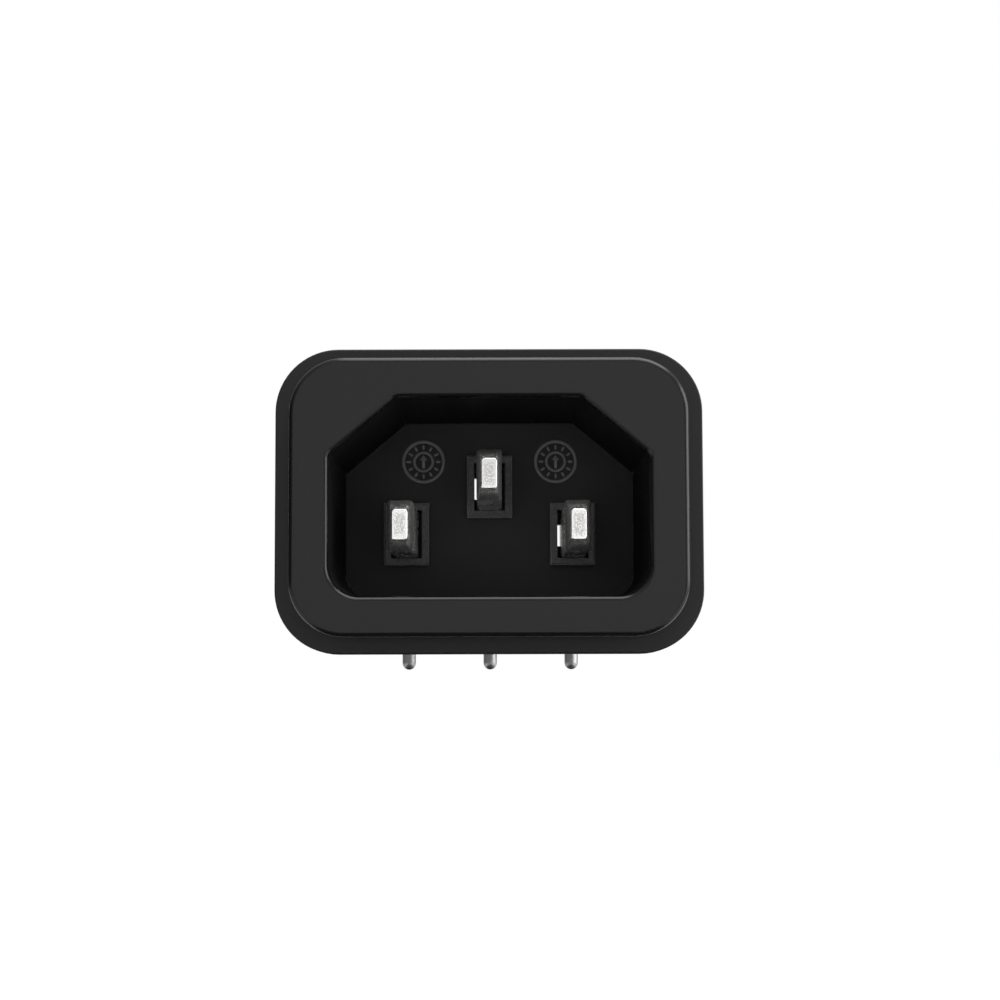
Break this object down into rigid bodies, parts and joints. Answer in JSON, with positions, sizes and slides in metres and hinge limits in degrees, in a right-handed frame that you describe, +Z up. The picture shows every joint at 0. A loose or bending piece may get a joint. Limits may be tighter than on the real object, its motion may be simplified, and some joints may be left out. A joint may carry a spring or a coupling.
{
  "type": "charging inlet",
  "caption": "Black moulded charging inlet with a stepped flange, a slanted-corner plug cavity, flat plated blades and solder tails for a board.",
  "frame": {"origin": "on the plug's axis, in the plane of the flange's front seat", "axes": "+X to the right seen from the front, +Y to the rear into the enclosure, +Z up; the plug leaves along -Y"},
  "size_m": [0.0338, 0.022, 0.0255],
  "materials": {
    "housing_plastic": "satin black moulded plastic",
    "terminal_metal": "nickel-plated brass"
  },
  "bodies": {
    "root": {"housing": "housing_plastic", "left_terminal": "terminal_metal", "right_terminal": "terminal_metal", "earth_terminal": "terminal_metal"}
  },
  "joints": []
}
